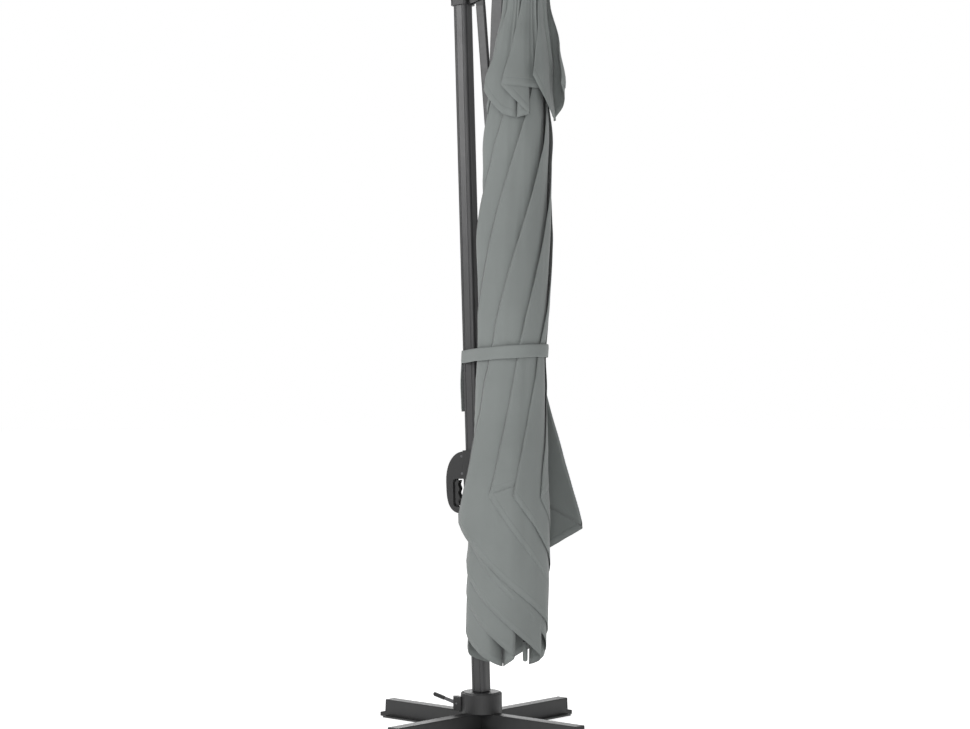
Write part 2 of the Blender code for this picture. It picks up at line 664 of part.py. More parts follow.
def build_pole(canopy):
    tilt = (0, -YOKE_DROP)
    outline = arc(tilt, 0.0125, 0, 180, 9) + [(-0.0125, -0.090), (0.0125, -0.090)]
    crown = piece("crown_hub", prism(outline, -0.0125, 0.0125, "Y"), GRAPHITE, canopy)
    join(crown, rod(0.0350, -0.098, -0.086, count=32))
    join(crown, rod(0.0215, -0.124, -0.090, count=24))
    cut(crown, rod(PIN_BORE, -0.03, 0.03, "Y", 16, tilt))
    piece("tilt_pin", rod(PIN_RADIUS, -0.0215, 0.0215, "Y", 16, tilt), STEEL, canopy)
    profile = [(0.0185, -0.0855), (0.0400, -0.0855), (0.0400, -0.0815), (0.0250, -0.0780), (0.0185, -0.0780)]
    piece("crown_cap", turned(profile, 32), BLACK_PLASTIC, canopy)
    outer, inner = circle(POLE_RADIUS, 28), circle(POLE_RADIUS - 0.0016, 28)
    piece("centre_pole", tube(outer, inner, -1.330, -0.1243), GRAPHITE, canopy)
    bore, outside = POLE_RADIUS + 0.0004, 0.0270
    profile = [(bore, -1.270), (outside, -1.270), (outside, -1.225), (bore, -1.225)]
    piece("runner", turned(profile, 32), BLACK_PLASTIC, canopy)


def build_ribs(canopy):
    """Eight ribs hang from the crown: long ones to the canopy's corners, short ones to its sides."""
    for index in range(RIB_COUNT):
        corner = index % 2 == 0
        length = CORNER_RIB if corner else SIDE_RIB
        stations = [(0.0300, 0.0), (0.0360, 0.45), (0.0365, 1.50)]
        stations += [(0.0560, length)] if corner else [(0.0370, length)]
        rings = []
        for radius, down in stations:
            tip = 0.005 if down == length else 0.007
            rings.append([(radius + x, y, -RIB_PIVOT - down)
                          for x, y in ((-tip, -0.0045), (tip, -0.0045), (tip, 0.0045), (-tip, 0.0045))])
        piece(f"rib_{index + 1}", loft(rings), GRAPHITE, canopy, turn=(0, 0, RIB_FIRST + 45 * index))


WRAP_FRONT = -150.0           # the wrapped cloth reaches from here, in front of the mast,
WRAP_BACK = 120.0             # round the outside to here, behind it
WRAP_RADII = [(0.150, 0.053), (0.300, 0.058), (0.540, 0.080), (0.750, 0.099), (1.000, 0.104),
              (1.250, 0.101), (1.348, 0.094), (1.450, 0.101), (1.650, 0.112), (1.860, 0.124),
              (2.000, 0.118), (2.260, 0.112)]
VENT_RADII = [(0.128, 0.056), (0.300, 0.066), (0.420, 0.086), (0.540, 0.112)]


def wrap_radius(drop, angle):
    """Outer radius of the wrapped cloth, with its front flap and the two loose flap corners."""
    radius = interpolate(WRAP_RADII, drop)
    wrapped = min(max((drop - 0.30) / 0.45, 0.0), 1.0)
    radius += 0.020 * wrapped * bump(angle, -150, 45)
    radius += 0.085 * bump(angle, 20, 16) * bump(drop, 1.850, 0.050)
    radius += 0.020 * bump(angle, -146, 12) * bump(drop, 1.850, 0.060)
    return radius


def vent_radius(drop, angle):
    spread = min(max((drop - 0.30) / 0.24, 0.0), 1.0)
    return interpolate(VENT_RADII, drop) + 0.026 * spread * bump(angle, 22, 22)


def wrap_limit(drop, widest, half):
    """Where the cloth stops, so that its end still lies outside the opening for the arm."""
    radius = wrap_radius(drop, widest)
    opening = 180.0 - math.degrees(math.asin((half + 0.005) / radius))
    return math.copysign(min(abs(widest), opening), widest)


def horseshoe(drop, half, steps=40):
    """A level ring of cloth that is open towards the mast: outer points, then inner points back."""
    first = wrap_limit(drop, WRAP_FRONT, half)
    last = wrap_limit(drop, WRAP_BACK, half)
    outer, inner = [], []
    for i in range(steps + 1):
        angle = first + (last - first) * i / steps
        turn = math.radians(angle)
        radius = wrap_radius(drop, angle)
        outer.append((radius * math.cos(turn), radius * math.sin(turn), -drop))
        if abs(angle) <= 90:
            inner.append((half * math.cos(turn), half * math.sin(turn), -drop))
        else:
            limit = last if angle > 0 else first
            reach = -wrap_radius(drop, limit) * math.cos(math.radians(limit)) - 0.002
            share = (abs(angle) - 90) / (abs(limit) - 90)
            inner.append((-reach * share, math.copysign(half, angle), -drop))
    return outer + inner[::-1]


def build_cloth(canopy):
    """The wrapped canopy and the vent over it, as plain shells that hold the ribs and clear the arm."""
    drops = [0.150, 0.230, 0.300, 0.420, 0.540, 0.650, 0.750, 0.900, 1.000, 1.150, 1.250, 1.348, 1.450, 1.550,
             1.650, 1.730, 1.790, 1.820, 1.850, 1.880, 1.920, 2.000, 2.100, 2.200, 2.260]
    rings = []
    for drop in drops:
        spread = min(max((drop - 1.60) / 0.66, 0.0), 1.0)
        rings.append(horseshoe(drop, CORE_HALF + 0.020 * spread))
    piece("canopy_cover", band(rings), CLOTH, canopy)
    rings = []
    for drop in (0.128, 0.200, 0.300, 0.360, 0.420, 0.480, 0.540):
        rings.append(vent_ring(drop))
    piece("vent_cover", band(rings), CLOTH, canopy)


def vent_ring(drop, steps=32):
    """A thin level ring of the vent, open towards the arm."""
    limit = 146.0
    outer, inner = [], []
    for i in range(steps + 1):
        angle = -limit + 2 * limit * i / steps
        turn = math.radians(angle)
        radius = vent_radius(drop, angle)
        outer.append((radius * math.cos(turn), radius * math.sin(turn), -drop))
        inner.append(((radius - 0.0025) * math.cos(turn), (radius - 0.0025) * math.sin(turn), -drop))
    return outer + inner[::-1]


def build_strap(mast, canopy):
    """The tie band that holds the closed canopy to the mast. It slopes up towards the canopy."""
    bpy.context.view_layer.update()
    level = -STRAP_DROP
    to_canopy = canopy.matrix_world.inverted() @ mast.matrix_world
    centre = mast.matrix_world.inverted() @ canopy.matrix_world @ Vector((0, 0, level))
    mast_points = [to_canopy @ Vector((x, y, centre.z))
                   for x, y in rounded_rectangle(MAST_HALF, MAST_HALF, MAST_CORNER)]
    points = [(point.x, point.y) for point in mast_points]
    for angle in range(int(WRAP_FRONT), int(WRAP_BACK) + 1, 8):
        radius = wrap_radius(STRAP_DROP, angle)
        points.append((radius * math.cos(math.radians(angle)), radius * math.sin(math.radians(angle))))
    inner = grown(convex_hull(points), 0.0030)
    outer = grown(inner, 0.0022)
    rings = []
    slope = 0.10
    for outline, edge in ((outer, -1), (outer, 1), (inner, 1), (inner, -1)):
        rings.append([(x, y, level + edge * STRAP_HEIGHT / 2 + slope * x) for x, y in outline])
    rings.append(rings[0])
    shape = loft(rings, closed_ends=False)
    bmesh.ops.remove_doubles(shape, verts=shape.verts, dist=0.00001)
    piece("tie_strap", shape, CLOTH, canopy)


def main():
    clear_scene()
    build_base()
    build_pedal()
    mast = empty("mast_frame", (0, 0, PIVOT_HEIGHT), -LEAN)
    build_mast(mast)
    build_strut(mast)
    build_arm(mast)
    build_carriage(mast)
    hub = empty("hub_frame", (HUB_OFFSET, 0, mast_level(HUB_HEIGHT)), LEAN + CANOPY_TILT, mast)
    build_yoke(hub)
    canopy = empty("canopy_frame", (0, 0, 0), 0, hub)
    build_pole(canopy)
    build_ribs(canopy)
    build_cloth(canopy)
    build_strap(mast, canopy)


main()
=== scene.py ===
"""Looks for the folded cantilever parasol: cloth, tie band, stretchers, pockets, finishes, studio, camera."""
import json
import math

import bmesh
import bpy
from mathutils import Matrix, Vector, noise


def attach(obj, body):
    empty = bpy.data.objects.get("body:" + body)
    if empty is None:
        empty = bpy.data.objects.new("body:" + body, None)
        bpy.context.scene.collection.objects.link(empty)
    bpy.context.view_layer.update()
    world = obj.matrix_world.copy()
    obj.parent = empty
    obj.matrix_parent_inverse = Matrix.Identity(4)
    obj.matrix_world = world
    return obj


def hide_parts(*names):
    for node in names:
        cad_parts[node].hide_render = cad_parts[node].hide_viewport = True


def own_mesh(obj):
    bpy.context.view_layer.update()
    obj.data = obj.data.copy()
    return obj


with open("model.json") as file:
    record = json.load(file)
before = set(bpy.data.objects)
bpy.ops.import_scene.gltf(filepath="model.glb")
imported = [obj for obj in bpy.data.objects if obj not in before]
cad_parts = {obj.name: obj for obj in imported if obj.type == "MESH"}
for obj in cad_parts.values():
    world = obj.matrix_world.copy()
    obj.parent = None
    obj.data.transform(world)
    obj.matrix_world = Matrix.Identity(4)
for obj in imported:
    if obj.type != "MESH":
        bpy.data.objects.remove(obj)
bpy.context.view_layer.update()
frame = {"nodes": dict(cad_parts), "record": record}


def joint_place(name):
    """Where a joint of the record stands, in the row frame."""
    for joint in frame["record"]["behaviour"]["joints"]:
        if joint["name"] == name:
            return Vector(joint["pos_m"])
    raise KeyError(name)


def canopy_matrix():
    """The frame of the closed canopy: origin on the hub pivot, Z up along the pole, X away from the mast."""
    points = [vertex.co for vertex in frame["nodes"]["centre_pole"].data.vertices]
    middle = sum((point.z for point in points), 0.0) / len(points)
    top = [point for point in points if point.z > middle]
    low = [point for point in points if point.z <= middle]
    up = (sum(top, Vector()) / len(top) - sum(low, Vector()) / len(low)).normalized()
    side = Vector((0, 1, 0))
    out = side.cross(up).normalized()
    turn = Matrix((out, up.cross(out), up)).transposed()
    return Matrix.Translation(joint_place("arm_head_pivot")) @ turn.to_4x4()


CANOPY = canopy_matrix()

# ---- camera and studio ------------------------------------------------------------------------------
VIEW_TURN = math.radians(32.0)
VIEW_DISTANCE = 6.4
VIEW_HEIGHT = 1.0945
VIEW_SHIFT = 0.011            # the aim passes this far to the right of the base's middle
LENS = 79.2
SKY_LIGHT = 0.50              # what the white surroundings add to the lamps
AIM_HEIGHT = 1.2              # where the lamps point, on the mast's axis
FLOOR_RADIUS = 30.0
FLOOR_DROP = 0.0005           # the floor lies this far below the feet
FLOOR_GREY = 0.90
FLOOR_GLOW = 0.56             # light of its own, so that the floor fades into the background

# name, azimuth in degrees, height, distance, width, power
LAMPS = [
    ("key", -32.0, 3.0, 5.0, 2.0, 118.0),
    ("fill", 34.0, 2.0, 5.5, 2.4, 112.0),
    ("rim", 215.0, 2.6, 5.0, 2.0, 60.0),
]


def make_camera():
    data = bpy.data.cameras.new("camera")
    data.lens = LENS
    data.sensor_width = 36.0
    camera = bpy.data.objects.new("camera", data)
    back = Vector((math.sin(VIEW_TURN), -math.cos(VIEW_TURN), 0.0))
    right = Vector((math.cos(VIEW_TURN), math.sin(VIEW_TURN), 0.0))
    camera.location = back * VIEW_DISTANCE + right * VIEW_SHIFT + Vector((0, 0, VIEW_HEIGHT))
    camera.rotation_euler = (math.pi / 2, 0.0, VIEW_TURN)
    bpy.context.collection.objects.link(camera)
    bpy.context.scene.camera = camera


def make_light(name, turn, height, distance, size, power):
    """A soft square lamp at an azimuth measured like the camera's, in degrees."""
    data = bpy.data.lights.new(name, "AREA")
    data.size = size
    data.energy = power
    lamp = bpy.data.objects.new(name, data)
    angle = math.radians(turn)
    lamp.location = (distance * math.sin(angle), -distance * math.cos(angle), height)
    away = lamp.location - Vector((0, 0, AIM_HEIGHT))
    lamp.rotation_euler = away.to_track_quat("Z", "Y").to_euler()
    bpy.context.collection.objects.link(lamp)


def make_world():
    """White surroundings, full white to the camera and dimmer as a light."""
    world = bpy.data.worlds.new("studio")
    bpy.context.scene.world = world
    world.use_nodes = True
    nodes, links = world.node_tree.nodes, world.node_tree.links
    background = nodes["Background"]
    background.inputs["Color"].default_value = (1.0, 1.0, 1.0, 1.0)
    rays = nodes.new("ShaderNodeLightPath")
    strength = nodes.new("ShaderNodeMapRange")
    strength.inputs["To Min"].default_value = SKY_LIGHT
    strength.inputs["To Max"].default_value = 1.0
    links.new(rays.outputs["Is Camera Ray"], strength.inputs["Value"])
    links.new(strength.outputs["Result"], background.inputs["Strength"])


def make_floor():
    shape = bmesh.new()
    bmesh.ops.create_circle(shape, cap_ends=True, segments=96, radius=FLOOR_RADIUS)
    mesh = bpy.data.meshes.new("floor")
    shape.to_mesh(mesh)
    shape.free()
    floor = bpy.data.objects.new("floor", mesh)
    floor.location.z = -FLOOR_DROP
    bpy.context.collection.objects.link(floor)
    mesh.materials.append(floor_material())


def make_studio():
    make_world()
    for lamp in LAMPS:
        make_light(*lamp)
    bpy.context.scene.view_settings.view_transform = "Standard"
    make_floor()


# ---- materials --------------------------------------------------------------------------------------
class Finish:
    """A Principled material being built up from nodes."""

    def __init__(self, name, colour, roughness, metallic=0.0):
        self.material = bpy.data.materials.new(name)
        self.material.use_nodes = True
        self.nodes = self.material.node_tree.nodes
        self.links = self.material.node_tree.links
        self.shader = self.nodes["Principled BSDF"]
        self.shader.inputs["Base Color"].default_value = (*colour, 1.0)
        self.shader.inputs["Roughness"].default_value = roughness
        self.shader.inputs["Metallic"].default_value = metallic
        self.colour = colour

    def add(self, kind, **values):
        node = self.nodes.new(kind)
        for name, value in values.items():
            if name in node.inputs:
                node.inputs[name].default_value = value
            else:
                setattr(node, name, value)
        return node

    def place(self, source="Object", scale=(1.0, 1.0, 1.0)):
        """Coordinates for a texture, stretched by a scale."""
        where = self.add("ShaderNodeTexCoord")
        mapping = self.add("ShaderNodeMapping", Scale=scale)
        self.links.new(where.outputs[source], mapping.inputs["Vector"])
        return mapping.outputs["Vector"]

    def noise(self, scale, detail=3.0, vector=None):
        texture = self.add("ShaderNodeTexNoise", Scale=scale, Detail=detail)
        self.links.new(vector or self.place(), texture.inputs["Vector"])
        return texture.outputs["Fac"]

    def vary_colour(self, value, low, high):
        """The base colour, darkened to low and lightened to high times itself."""
        ramp = self.add("ShaderNodeValToRGB")
        ramp.color_ramp.elements[0].position = 0.3
        ramp.color_ramp.elements[1].position = 0.7
        ramp.color_ramp.elements[0].color = (*[part * low for part in self.colour], 1.0)
        ramp.color_ramp.elements[1].color = (*[part * high for part in self.colour], 1.0)
        self.links.new(value, ramp.inputs["Fac"])
        self.links.new(ramp.outputs["Color"], self.shader.inputs["Base Color"])

    def vary_roughness(self, value, low, high):
        spread = self.add("ShaderNodeMapRange")
        spread.inputs["To Min"].default_value = low
        spread.inputs["To Max"].default_value = high
        self.links.new(value, spread.inputs["Value"])
        self.links.new(spread.outputs["Result"], self.shader.inputs["Roughness"])

    def bump(self, height, distance, strength=0.5, after=None):
        node = self.add("ShaderNodeBump", Strength=strength, Distance=distance)
        self.links.new(height, node.inputs["Height"])
        if after is not None:
            self.links.new(after, node.inputs["Normal"])
        self.links.new(node.outputs["Normal"], self.shader.inputs["Normal"])
        return node.outputs["Normal"]


def floor_material():
    finish = Finish("pale_floor", (FLOOR_GREY, FLOOR_GREY, FLOOR_GREY), 0.75)
    finish.shader.inputs["Emission Color"].default_value = (1.0, 1.0, 1.0, 1.0)
    finish.shader.inputs["Emission Strength"].default_value = FLOOR_GLOW
    finish.vary_roughness(finish.noise(3.0), 0.70, 0.85)
    return finish.material


CLOTH_GREY = (0.152, 0.165, 0.160)
CANOPY_HEM = 0.020            # from the cloth's edge to its seam
STRAP_HEM = 0.003
THREADS = 330.0               # scale of the weave's two waves
WEAVE_DEPTH = 0.00012
CREASE_DEPTH = 0.004
SEAM_DEPTH = 0.0012

MAST_COAT = (0.034, 0.034, 0.035)
FRAME_COAT = (0.030, 0.030, 0.031)
BASE_COAT = (0.017, 0.017, 0.0175)
NYLON_GREY = (0.019, 0.019, 0.0195)
ZINC_GREY = (0.11, 0.11, 0.115)
SMOOTH_BELOW = 32             # degrees; a CAD edge sharper than this stays sharp


def cloth_material(name, hem):
    """Woven polyester: a plain weave in UV metres, creases, and a seam sewn at a distance from V = 0."""
    finish = Finish(name, CLOTH_GREY, 0.86)
    finish.shader.inputs["Sheen Weight"].default_value = 0.18
    finish.shader.inputs["Sheen Roughness"].default_value = 0.45
    finish.shader.inputs["Specular IOR Level"].default_value = 0.28
    finish.vary_colour(finish.noise(5.0, 5.0), 0.93, 1.06)
    finish.vary_roughness(finish.noise(30.0), 0.80, 0.92)
    flat = finish.place("UV")
    weave = []
    for direction in ("X", "Y"):
        thread = finish.add("ShaderNodeTexWave", Scale=THREADS, Distortion=0.6, bands_direction=direction)
        finish.links.new(flat, thread.inputs["Vector"])
        weave.append(thread.outputs["Fac"])
    cross = finish.add("ShaderNodeMath", operation="ADD")
    finish.links.new(weave[0], cross.inputs[0])
    finish.links.new(weave[1], cross.inputs[1])
    woven = finish.bump(cross.outputs[0], WEAVE_DEPTH, 0.35)
    creases = finish.noise(16.0, 4.0, finish.place("Object", (1.0, 1.0, 0.35)))
    creased = finish.bump(creases, CREASE_DEPTH, 0.22, woven)
    parts = finish.add("ShaderNodeSeparateXYZ")
    finish.links.new(flat, parts.inputs[0])
    seam = finish.add("ShaderNodeValToRGB")
    marks = seam.color_ramp.elements
    marks[0].position, marks[0].color = 0.0, (1, 1, 1, 1)
    marks[1].position, marks[1].color = hem, (1, 1, 1, 1)
    for position, level in ((hem + 0.0015, 0.0), (hem + 0.0035, 0.0), (hem + 0.0050, 0.45)):
        mark = marks.new(position)
        mark.color = (level, level, level, 1)
    finish.links.new(parts.outputs["Y"], seam.inputs["Fac"])
    finish.bump(seam.outputs["Color"], SEAM_DEPTH, 0.6, creased)
    return finish.material


def powder_coat(name, colour, roughness):
    """Graphite powder coat with a fine orange-peel surface."""
    finish = Finish(name, colour, roughness)
    finish.shader.inputs["Specular IOR Level"].default_value = 0.36
    finish.shader.inputs["Coat Weight"].default_value = 0.10
    finish.shader.inputs["Coat Roughness"].default_value = 0.30
    finish.vary_colour(finish.noise(9.0, 4.0), 0.88, 1.12)
    finish.vary_roughness(finish.noise(60.0), roughness - 0.05, roughness + 0.08)
    finish.bump(finish.noise(900.0, 2.0), 0.00025, 0.25)
    return finish.material


def moulded_plastic(name, colour, roughness):
    """Nylon with a fine spark-eroded grain."""
    finish = Finish(name, colour, roughness)
    finish.shader.inputs["Specular IOR Level"].default_value = 0.36
    finish.vary_colour(finish.noise(14.0, 3.0), 0.90, 1.10)
    finish.vary_roughness(finish.noise(90.0), roughness - 0.06, roughness + 0.08)
    grain = finish.add("ShaderNodeTexVoronoi", Scale=1400.0)
    finish.links.new(finish.place(), grain.inputs["Vector"])
    finish.bump(grain.outputs["Distance"], 0.0002, 0.30)
    return finish.material


def zinc_steel(name, colour, roughness):
    """Dark zinc on turned steel."""
    finish = Finish(name, colour, roughness, 0.9)
    finish.vary_colour(finish.noise(40.0, 4.0), 0.80, 1.15)
    finish.vary_roughness(finish.noise(120.0), roughness - 0.08, roughness + 0.12)
    finish.bump(finish.noise(500.0, 2.0, finish.place("Object", (1.0, 1.0, 0.05))), 0.0002, 0.25)
    return finish.material


def finish_frame():
    """Better materials for the CAD nodes that stay."""
    looks = {
        "mast_aluminium": powder_coat("mast_coat", MAST_COAT, 0.36),
        "frame_steel": powder_coat("frame_coat", FRAME_COAT, 0.40),
        "base_steel": powder_coat("base_coat", BASE_COAT, 0.46),
        "black_plastic": moulded_plastic("nylon", NYLON_GREY, 0.55),
        "zinc_steel": zinc_steel("zinc", ZINC_GREY, 0.36),
    }
    for entry in frame["record"]["subparts"]:
        look = looks.get(entry["material_slot"])
        node = frame["nodes"][entry["node"]]
        if look is None:
            continue
        node.data.materials.clear()
        node.data.materials.append(look)
        node.data.shade_smooth()
        node.data.set_sharp_from_angle(angle=math.radians(SMOOTH_BELOW))


# ---- cloth ------------------------------------------------------------------------------------------
def linear(at, low, high):
    """A straight step from 0 at low to 1 at high."""
    return min(max((at - low) / (high - low), 0.0), 1.0)


def ease(at, low, high):
    """A smooth step from 0 at low to 1 at high."""
    share = linear(at, low, high)
    return share * share * (3 - 2 * share)


def read_table(table, at):
    """A smooth reading of (position, value) points."""
    if at <= table[0][0]:
        return table[0][1]
    for (low, first), (high, last) in zip(table, table[1:]):
        if at <= high:
            return first + (last - first) * ease(at, low, high)
    return table[-1][1]


def bump_at(at, centre, width):
    """A bell of height 1 round a centre."""
    return math.exp(-((at - centre) / width) ** 2)


def wrapped_angle(angle):
    """An angle in degrees brought into -180 to 180."""
    return (angle + 180.0) % 360.0 - 180.0


RIB_FIRST = 22.5
RIB_STEP = 45.0
CLOTH_TOP = 0.100             # below the hub pivot, where the cloth is clamped at the crown
SIDE_LENGTH = 1.55            # from the crown to the middle of a side
CORNER_LENGTH = 2.172         # and to a corner
ARM_PLANE = 0.0475            # from the pole to the plane where the cloth ends in front of the arm
ARM_HALF = 21.0               # degrees to each side of the arm where the cloth keeps to that plane
ARM_FREE = (34.0, 66.0)       # and where it is free of it, on the camera's side and on the crank's side
LAYER_GAP = 0.0015
GATHER_MARGIN = 1.0           # degrees left free at each end of a gathered part
CLOTH_THICKNESS = 0.0008

MAIN_IN = [(0.0, 0.0455), (0.30, 0.050), (0.60, 0.057), (1.25, 0.063), (1.50, 0.074), (1.75, 0.100),
           (1.95, 0.115), (2.19, 0.117)]
MAIN_OUT = [(0.0, 0.048), (0.20, 0.055), (0.44, 0.078), (0.65, 0.097), (0.90, 0.104), (1.10, 0.101),
            (1.25, 0.092), (1.36, 0.099), (1.55, 0.109), (1.76, 0.122), (1.95, 0.129), (2.19, 0.126)]
MAIN_RIBS = [(0.0, 0.0450), (1.50, 0.0450), (2.19, 0.0680)]


def thin_beside_arm(angle, radius):
    """Pulls the cloth in beside the arm, where there is no room between it and the ribs."""
    away = 180.0 - abs(wrapped_angle(angle))
    free = ARM_FREE[0] if wrapped_angle(angle) < 0 else ARM_FREE[1]
    limit = ARM_PLANE / math.cos(math.radians(min(away, ARM_HALF + 1.0)))
    return min(radius, limit + (max(radius, limit) - limit) * ease(away, ARM_HALF, free))


def wrinkle(angle, drop, size):
    """A waviness that every layer shares at one place, longer along the pole than round it."""
    turn = math.radians(angle)
    place = Vector((2.6 * math.cos(turn), 2.6 * math.sin(turn), drop * 2.2))
    fine = Vector((7.0 * math.cos(turn), 7.0 * math.sin(turn), drop * 6.0))
    return size * (noise.noise(place) + 0.45 * noise.noise(fine))


class Flap:
    """One gore of cloth between two neighbouring ribs, gathered between them and wound round the bundle."""

    def __init__(self, index, tier):
        self.index = index
        self.tier = tier
        self.start = RIB_FIRST + RIB_STEP * index
        self.root = self.start + RIB_STEP / 2
        self.starts_long = index % 2 == 0
        self.seed = 7.31 * index

    def edge_angle(self, down):
        """How far the fold has gone round the bundle, in degrees, at a distance below the crown."""
        wind = self.tier["wind"](down)
        wander = 9.0 * noise.noise(Vector((self.seed, down * 1.7, 0.3))) * min(1.0, down / 0.3)
        return wind + wander + self.tier["edge_shift"](self.index, down)

    def radii(self, down, angle):
        low = read_table(self.tier["inside"], down)
        high = read_table(self.tier["outside"], down) + self.tier["swell"](down, wrapped_angle(angle))
        low = thin_beside_arm(angle, low)
        high = thin_beside_arm(angle, high)
        return low, max(high, low + LAYER_GAP)

    def hem(self, share, long_side):
        """How far below the crown the cloth ends, share of the way from the rib to the fold."""
        corner = self.tier["fold_end"](self.index)
        if long_side:
            full = self.tier["corner_length"]
            return full + (corner - full) * share ** self.tier["tip_shape"]
        full = self.tier["side_length"]
        return full + (corner - full) * share ** 2

    def wound(self, share, down, outer_layer):
        """A point of the wound part: share runs from the root between the ribs to the fold."""
        sweep = self.edge_angle(down)
        angle = self.root - share * sweep
        low, high = self.radii(down, angle)
        radius = low + (high - low) * share
        if outer_layer:
            radius += 0.0024 * (1.0 - share ** 5)
        radius += self.tier["flare"](self.index, share, down)
        radius += wrinkle(angle, down, self.tier["wrinkle"]) * min(1.0, down / 0.25) * min(1.0, share * 3)
        return radius, angle

    def gathered(self, share, down, first_half):
        """A point of the gathered part beside a rib: a zigzag in radius between the rib and the root."""
        folds = self.tier["folds"]
        low, _ = self.radii(down, self.root)
        rib = thin_beside_arm(self.start if first_half else self.start + RIB_STEP,
                              read_table(self.tier["ribs"], down))
        tight = ease(down, *self.tier["smooth_from"])
        rise = min(1.0, down / 0.5) * (1.0 - tight)
        swing = (1.0 - math.cos(2 * math.pi * folds * share)) / 2
        even = math.sin(share * math.pi / 2)
        reach = swing * rise * (1 - share) + even + (share - even) * rise
        radius = rib + (low - LAYER_GAP - rib) * reach
        radius += self.tier["pleat"] * swing * (1 - share) * min(1.0, down / 0.2) * (1.0 - 0.7 * tight)
        turned = GATHER_MARGIN + (RIB_STEP / 2 - 2 * GATHER_MARGIN) * share
        if first_half:
            return radius, self.start + turned
        return radius, self.start + RIB_STEP - turned

    def point(self, position, from_rib, down):
        """Radius and angle of a point of the cloth, gathered near the rib and wound beyond that."""
        first_half = position < 0.5
        gather = self.tier["gather"] * (1.0 - 0.72 * ease(down, *self.tier["smooth_from"]))
        if from_rib < gather:
            return self.gathered(from_rib / gather, down, first_half)
        return self.wound((from_rib - gather) / (1 - gather), down, not first_half)


def add_flap(shape, layer, flap, columns, rows):
    """Adds a flap's cloth as a grid. UVs are metres across the cut cloth and up from the hem."""
    grid = []
    flat = []
    for i in range(columns + 1):
        position = i / columns
        from_rib = position * 2 if position < 0.5 else (1 - position) * 2
        long_side = flap.starts_long == (position < 0.5)
        hem = flap.hem(from_rib, long_side)
        line = []
        flat_line = []
        for j in range(rows + 1):
            down = hem * (j / rows) ** 0.9
            radius, angle = flap.point(position, from_rib, down)
            turn = math.radians(angle)
            local = Vector((radius * math.cos(turn), radius * math.sin(turn), -CLOTH_TOP - down))
            line.append(shape.verts.new(CANOPY @ local))
            flat_line.append((position * math.pi / 4 * down, hem - down))
        grid.append(line)
        flat.append(flat_line)
    for i in range(columns):
        for j in range(rows):
            corners = ((i, j), (i + 1, j), (i + 1, j + 1), (i, j + 1))
            face = shape.faces.new([grid[a][b] for a, b in corners])
            face.smooth = True
            for loop, (a, b) in zip(face.loops, corners):
                loop[layer].uv = flat[a][b]


def finished_piece(name, shape, material):
    """A mesh piece from a bmesh, with one material."""
    mesh = bpy.data.meshes.new(name)
    shape.to_mesh(mesh)
    shape.free()
    mesh.materials.append(material)
    made = bpy.data.objects.new(name, mesh)
    bpy.context.collection.objects.link(made)
    return made


def thicken(piece, thickness):
    change = piece.modifiers.new("cloth_thickness", "SOLIDIFY")
    change.thickness = thickness
    change.offset = 0.0


def tier_cloth(name, tier, columns, rows, cloth):
    """All eight gores of a tier in one mesh. Neighbours end beside the rib between them, not joined."""
    shape = bmesh.new()
    layer = shape.loops.layers.uv.new("UVMap")
    for index in range(8):
        add_flap(shape, layer, Flap(index, tier), columns, rows)
    made = finished_piece(name, shape, cloth)
    thicken(made, CLOTH_THICKNESS)
    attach(made, "canopy")
    return made


def no_change(*_):
    return 0.0


def main_wind(down):
    """The folds run round quickly near the crown and ever more slowly towards the hem."""
    return 190.0 * down - 30.5 * down ** 2


def main_swell(down, angle):
    """The wound cloth is fuller in front of the mast and is drawn in by the strap."""
    fullness = 0.018 - 0.006 * ease(down, 1.30, 1.60)
    return fullness * linear(down, 0.20, 0.65) * bump_at(angle, -146, 40)


RIGHT_FLAP = 5                # the two gores that hang loose
LEFT_FLAP = 1
FOLD_ENDS = {RIGHT_FLAP: 1.765, LEFT_FLAP: 1.750}
# where it begins to loosen and is loose, the share of its width that stays tied, and how far it stands out
LOOSE_FLAPS = {RIGHT_FLAP: (1.27, 1.75, 0.70, 0.092), LEFT_FLAP: (1.42, 1.75, 0.75, 0.024)}


def main_flare(index, share, down):
    """Two flaps hang loose below the strap and stand away from the bundle."""
    if index not in LOOSE_FLAPS:
        return 0.0
    tied, loose, root, reach = LOOSE_FLAPS[index]
    return reach * linear(down, tied, loose) * max(0.0, (share - root) / (1.0 - root)) ** 1.5


def main_fold_end(index):
    """How far below the crown a gore's fold ends."""
    return FOLD_ENDS.get(index, 1.66 + 0.05 * noise.noise(Vector((index * 3.7, 0.0, 0.0))))


MAIN_TIER = {
    "wind": main_wind, "inside": MAIN_IN, "outside": MAIN_OUT, "swell": main_swell, "flare": main_flare,
    "edge_shift": no_change, "fold_end": main_fold_end, "corner_length": CORNER_LENGTH,
    "side_length": SIDE_LENGTH, "wrinkle": 0.0035, "folds": 6, "gather": 0.32, "smooth_from": (1.15, 1.75),
    "ribs": MAIN_RIBS, "pleat": 0.0, "tip_shape": 1.14,
}

MAIN_GRID = (124, 84)         # columns and rows in each gore
VENT_GRID = (64, 30)

VENT_IN = [(0.0, 0.050), (0.20, 0.058), (0.44, 0.090), (0.60, 0.108)]
VENT_RIBS = [(0.0, 0.0465), (0.20, 0.0560), (0.44, 0.0860), (0.60, 0.1000)]
VENT_OUT = [(0.0, 0.053), (0.10, 0.056), (0.21, 0.064), (0.34, 0.092), (0.45, 0.116), (0.60, 0.134)]


def vent_wind(down):
    return 100.0 * down


def vent_swell(down, angle):
    return 0.048 * min(1.0, (down / 0.45) ** 2) * bump_at(angle, 30, 20)


def vent_shift(index, down):
    """The vent's folds fall unevenly, some close to the next one."""
    return 22.0 * noise.noise(Vector((index * 4.3, 9.0, 0.4))) * min(1.0, down / 0.3)


